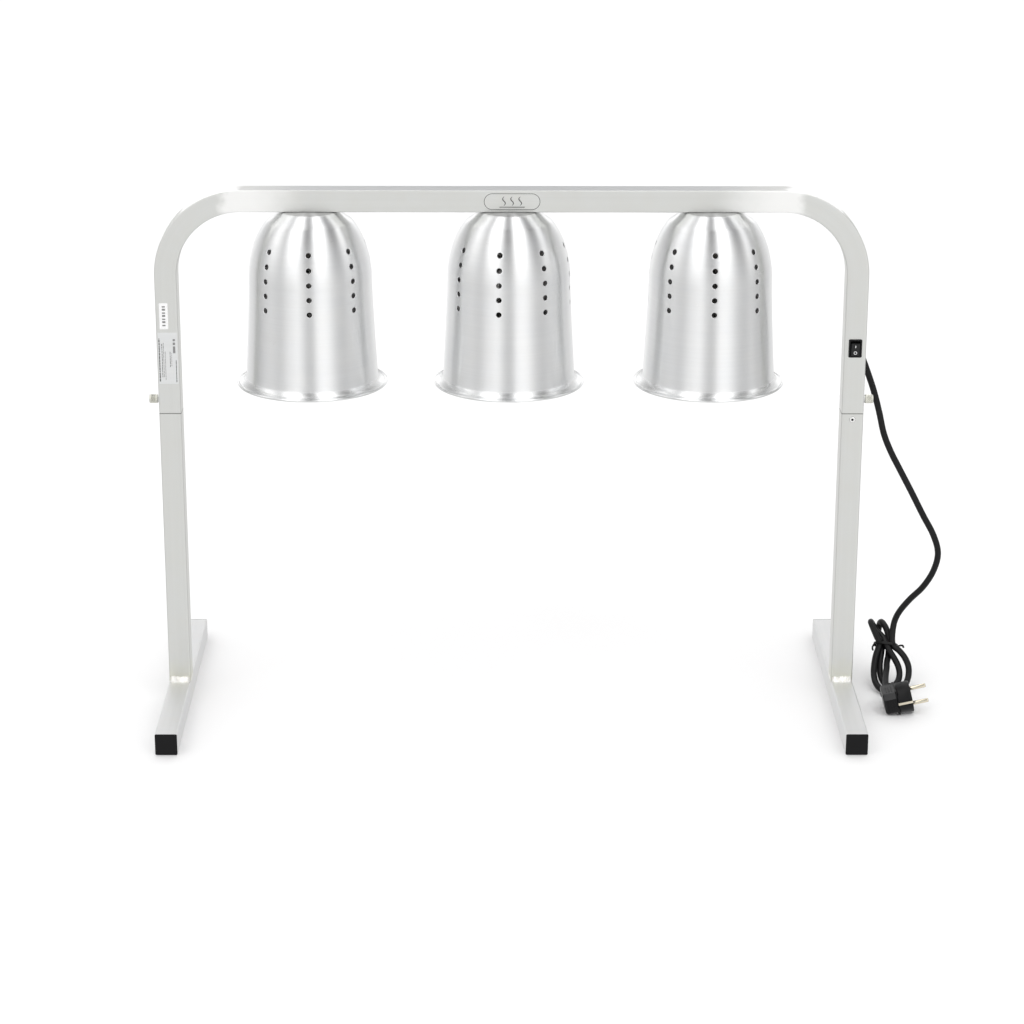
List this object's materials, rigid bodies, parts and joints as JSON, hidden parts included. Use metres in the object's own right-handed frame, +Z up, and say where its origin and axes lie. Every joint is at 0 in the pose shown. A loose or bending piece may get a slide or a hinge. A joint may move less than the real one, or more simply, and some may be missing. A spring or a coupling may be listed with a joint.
{
  "type": "heat lamp warmer",
  "caption": "Free-standing food warmer: bent square-tube frame on two welded feet, with bell shades over infrared bulbs, a rocker switch and a mains cord.",
  "frame": {"origin": "on the table, under the middle of the left leg", "axes": "+X along the beam from the left leg to the right leg, +Y away from the operator, +Z up"},
  "size_m": [0.9203, 0.362, 0.61],
  "materials": {
    "tube_steel": "brushed, satin",
    "sleeve_steel": "mill finish",
    "weld_bead": "ground weld with straw heat tint",
    "fastener_steel": "zinc plated",
    "screw_steel": "turned, grooved grip",
    "cap_plastic": "moulded, fine grain",
    "shade_aluminium": "spun, circular brushing",
    "brass": "plain",
    "porcelain": "unglazed, off-white",
    "shell_metal": "nickel plated",
    "bulb_glass": "ruby stained front, mirrored sides",
    "bulb_cap_metal": "rolled thread",
    "filament_wire": "coiled",
    "switch_black": "semi gloss",
    "rocker_black": "semi gloss, white on and off symbols",
    "live_insulation": "heat-resistant sleeve, brown",
    "neutral_insulation": "heat-resistant sleeve, blue",
    "earth_insulation": "heat-resistant sleeve, green and yellow",
    "cord_rubber": "soft sheen",
    "tie_black": "plastic coated wire",
    "plug_black": "moulded, satin",
    "pin_metal": "nickel over brass",
    "label_silver": "silvery film, blank",
    "label_white": "blank",
    "badge_metal": "thin plate, dark filled outline and heat symbol"
  },
  "bodies": {
    "right_stand": {"right_lower_leg": "tube_steel", "right_foot": "tube_steel", "right_weld": "weld_bead", "right_sleeve": "sleeve_steel", "right_rivet": "fastener_steel", "right_foot_cap_front": "cap_plastic", "right_foot_cap_rear": "cap_plastic", "power_cord_lower": "cord_rubber", "cord_tie": "tie_black", "plug_body": "plug_black", "plug_pins": "pin_metal", "plug_earth_strips": "pin_metal"},
    "left_stand": {"left_lower_leg": "tube_steel", "left_foot": "tube_steel", "left_weld": "weld_bead", "left_sleeve": "sleeve_steel", "left_rivet": "fastener_steel", "left_foot_cap_front": "cap_plastic", "left_foot_cap_rear": "cap_plastic"},
    "left_clamp": {"left_clamp_screw": "screw_steel"},
    "right_clamp": {"right_clamp_screw": "screw_steel"},
    "rocker": {"switch_rocker": "rocker_black"},
    "left_bulb": {"left_bulb_glass": "bulb_glass", "left_bulb_cap": "bulb_cap_metal", "left_filament": "filament_wire"},
    "centre_bulb": {"centre_bulb_glass": "bulb_glass", "centre_bulb_cap": "bulb_cap_metal", "centre_filament": "filament_wire"},
    "right_bulb": {"right_bulb_glass": "bulb_glass", "right_bulb_cap": "bulb_cap_metal", "right_filament": "filament_wire"},
    "frame": {"upper_frame": "tube_steel", "clamp_bosses": "fastener_steel", "left_shade": "shade_aluminium", "centre_shade": "shade_aluminium", "right_shade": "shade_aluminium", "beam_nuts": "fastener_steel", "hanger_nipples": "brass", "shade_nuts": "fastener_steel", "left_lampholder": "porcelain", "centre_lampholder": "porcelain", "right_lampholder": "porcelain", "left_screw_shell": "shell_metal", "centre_screw_shell": "shell_metal", "right_screw_shell": "shell_metal", "centre_contacts": "brass", "switch_housing": "switch_black", "switch_tabs": "brass", "terminal_block": "porcelain", "terminal_screws": "brass", "live_wire": "live_insulation", "neutral_wire": "neutral_insulation", "earth_wire": "earth_insulation", "switch_leads": "live_insulation", "cord_grip": "cord_rubber", "power_cord_upper": "cord_rubber", "rating_label": "label_silver", "small_label": "label_white", "badge": "badge_metal"}
  },
  "joints": [
    {"name": "frame_height", "type": "slide", "parent": "right_stand", "child": "frame", "axis": [0, 0, 1], "range_m": [0, 0.04]},
    {"name": "left_leg_height", "type": "slide", "parent": "frame", "child": "left_stand", "axis": [0, 0, -1], "range_m": [0, 0.04]},
    {"name": "left_clamp_turn", "type": "hinge", "parent": "frame", "child": "left_clamp", "pos_m": [-0.0125, 0, 0.366], "axis": [-1, 0, 0], "range_deg": [0, 720]},
    {"name": "right_clamp_turn", "type": "hinge", "parent": "frame", "child": "right_clamp", "pos_m": [0.7875, 0, 0.366], "axis": [1, 0, 0], "range_deg": [0, 720]},
    {"name": "switch_press", "type": "hinge", "parent": "frame", "child": "rocker", "pos_m": [0.775, -0.0115, 0.429], "axis": [-1, 0, 0], "range_deg": [0, 20]},
    {"name": "left_bulb_turn", "type": "hinge", "parent": "frame", "child": "left_bulb", "pos_m": [0.1615, 0, 0.47], "axis": [0, 0, -1], "range_deg": [0, 1080]},
    {"name": "centre_bulb_turn", "type": "hinge", "parent": "frame", "child": "centre_bulb", "pos_m": [0.3842, 0, 0.47], "axis": [0, 0, -1], "range_deg": [0, 1080]},
    {"name": "right_bulb_turn", "type": "hinge", "parent": "frame", "child": "right_bulb", "pos_m": [0.6105, 0, 0.47], "axis": [0, 0, -1], "range_deg": [0, 1080]}
  ],
  "couplings": [
    {"joint": "left_leg_height", "follows": "frame_height", "ratio": 1}
  ]
}
